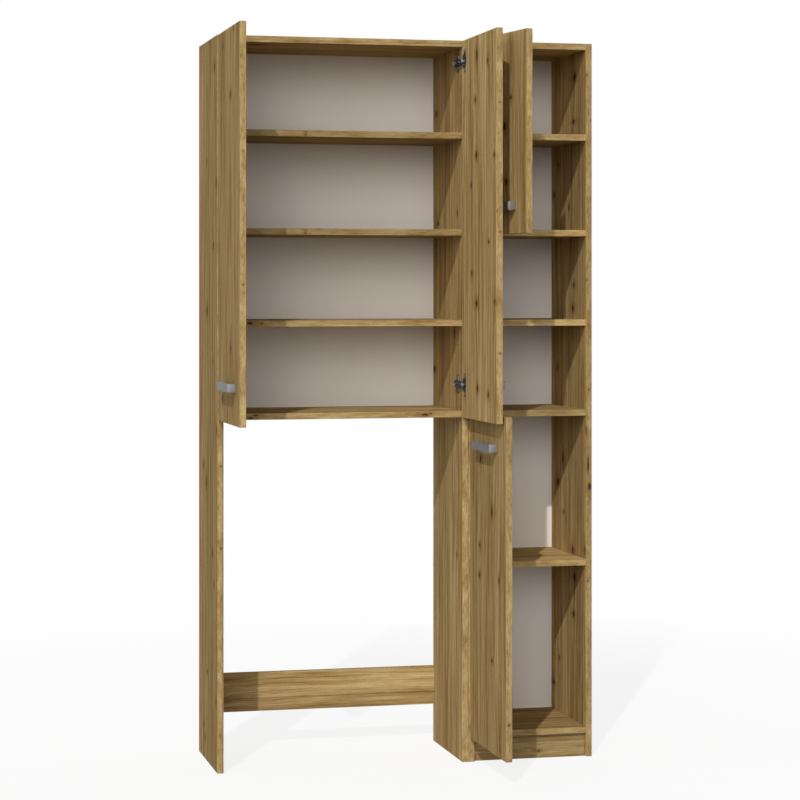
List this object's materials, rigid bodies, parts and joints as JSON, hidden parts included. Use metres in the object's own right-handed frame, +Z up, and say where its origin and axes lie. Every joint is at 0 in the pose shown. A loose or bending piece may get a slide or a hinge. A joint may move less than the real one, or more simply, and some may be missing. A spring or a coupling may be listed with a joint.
{
  "type": "bathroom cabinet",
  "caption": "Tall bathroom cabinet set in knotty oak decor: a wide unit with an open appliance bay below, and a slim column, with hinged doors and shelves.",
  "frame": {"origin": "on the floor, under the middle of the box round the whole set with its doors open as stored", "axes": "+Z up, -Y towards the user in front of the doors, +X to the user's right"},
  "size_m": [0.986, 0.6314, 1.82],
  "materials": {
    "oak_decor": "knotty oak decor foil, fine satin grain",
    "back_board": "smooth pale lacquered fibreboard",
    "handle_metal": "satin grey",
    "hinge_metal": "bright nickel plated"
  },
  "bodies": {
    "carcass": {"wide_left_side": "oak_decor", "wide_right_side": "oak_decor", "wide_top": "oak_decor", "wide_upper_shelf": "oak_decor", "wide_middle_shelf": "oak_decor", "wide_lower_shelf": "oak_decor", "wide_bottom": "oak_decor", "wide_back": "back_board", "wide_rear_rail": "oak_decor", "column_left_side": "oak_decor", "column_right_side": "oak_decor", "column_top": "oak_decor", "column_upper_shelf": "oak_decor", "column_middle_shelf": "oak_decor", "column_lower_shelf": "oak_decor", "column_door_shelf": "oak_decor", "column_linen_shelf": "oak_decor", "column_bottom": "oak_decor", "column_back": "back_board", "column_plinth": "oak_decor", "wide_left_door_hinge_arm_upper": "hinge_metal", "wide_left_door_hinge_plate_upper": "hinge_metal", "wide_left_door_hinge_arm_lower": "hinge_metal", "wide_left_door_hinge_plate_lower": "hinge_metal", "wide_right_door_hinge_arm_upper": "hinge_metal", "wide_right_door_hinge_plate_upper": "hinge_metal", "wide_right_door_hinge_arm_lower": "hinge_metal", "wide_right_door_hinge_plate_lower": "hinge_metal", "column_upper_door_hinge_arm_upper": "hinge_metal", "column_upper_door_hinge_plate_upper": "hinge_metal", "column_upper_door_hinge_arm_lower": "hinge_metal", "column_upper_door_hinge_plate_lower": "hinge_metal", "column_lower_door_hinge_arm_upper": "hinge_metal", "column_lower_door_hinge_plate_upper": "hinge_metal", "column_lower_door_hinge_arm_lower": "hinge_metal", "column_lower_door_hinge_plate_lower": "hinge_metal"},
    "wide_left_leaf": {"wide_left_door": "oak_decor", "wide_left_door_handle": "handle_metal", "wide_left_door_hinge_cup_upper": "hinge_metal", "wide_left_door_hinge_cup_lower": "hinge_metal"},
    "wide_right_leaf": {"wide_right_door": "oak_decor", "wide_right_door_handle": "handle_metal", "wide_right_door_hinge_cup_upper": "hinge_metal", "wide_right_door_hinge_cup_lower": "hinge_metal"},
    "column_upper_leaf": {"column_upper_door": "oak_decor", "column_upper_door_handle": "handle_metal", "column_upper_door_hinge_cup_upper": "hinge_metal", "column_upper_door_hinge_cup_lower": "hinge_metal"},
    "column_lower_leaf": {"column_lower_door": "oak_decor", "column_lower_door_handle": "handle_metal", "column_lower_door_hinge_cup_upper": "hinge_metal", "column_lower_door_hinge_cup_lower": "hinge_metal"}
  },
  "joints": [
    {"name": "wide_left_swing", "type": "hinge", "parent": "carcass", "child": "wide_left_leaf", "pos_m": [-0.4665, -0.0001, 1.3445], "axis": [0, 0, -1], "range_deg": [-90, 5]},
    {"name": "wide_right_swing", "type": "hinge", "parent": "carcass", "child": "wide_right_leaf", "pos_m": [0.1599, -0.0001, 1.3445], "axis": [0, 0, 1], "range_deg": [-90, 0]},
    {"name": "column_upper_swing", "type": "hinge", "parent": "carcass", "child": "column_upper_leaf", "pos_m": [0.1752, -0.0001, 1.5735], "axis": [0, 0, -1], "range_deg": [-80.03, 0]},
    {"name": "column_lower_swing", "type": "hinge", "parent": "carcass", "child": "column_lower_leaf", "pos_m": [0.1752, -0.0001, 0.4735], "axis": [0, 0, -1], "range_deg": [-89.6, 0]}
  ]
}
